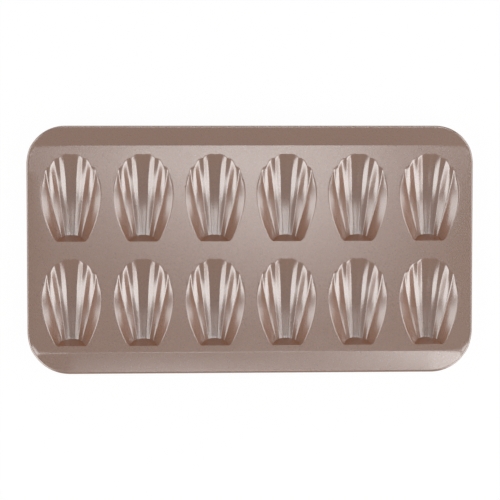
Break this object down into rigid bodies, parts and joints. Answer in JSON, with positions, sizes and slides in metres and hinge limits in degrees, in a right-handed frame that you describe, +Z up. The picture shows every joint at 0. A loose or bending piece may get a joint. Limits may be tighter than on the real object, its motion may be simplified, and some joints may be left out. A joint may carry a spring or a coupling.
{
  "type": "madeleine pan",
  "caption": "Pressed metal baking pan with rows of ribbed shell-shaped cups in a flat deck, rolled rim and shallow turned-up long sides.",
  "frame": {"origin": "midpoint of the pan's overall length and width, at the lowest point of the cups it stands on", "axes": "+X along the long side, +Y towards the wide fan ends of the cups, +Z up out of the cups"},
  "size_m": [0.392, 0.2172, 0.0204],
  "materials": {
    "coating": "satin champagne metallic non-stick coating with a very fine grain"
  },
  "bodies": {
    "root": {"front_flange": "coating", "rear_flange": "coating", "curl_left": "coating", "curl_right": "coating", "curl_front": "coating", "curl_rear": "coating", "deck_c1": "coating", "deck_c2": "coating", "deck_c3": "coating", "deck_c4": "coating", "deck_c5": "coating", "deck_c6": "coating", "cup_r1_c1": "coating", "cup_r1_c2": "coating", "cup_r1_c3": "coating", "cup_r1_c4": "coating", "cup_r1_c5": "coating", "cup_r1_c6": "coating", "cup_r2_c1": "coating", "cup_r2_c2": "coating", "cup_r2_c3": "coating", "cup_r2_c4": "coating", "cup_r2_c5": "coating", "cup_r2_c6": "coating"}
  },
  "joints": []
}
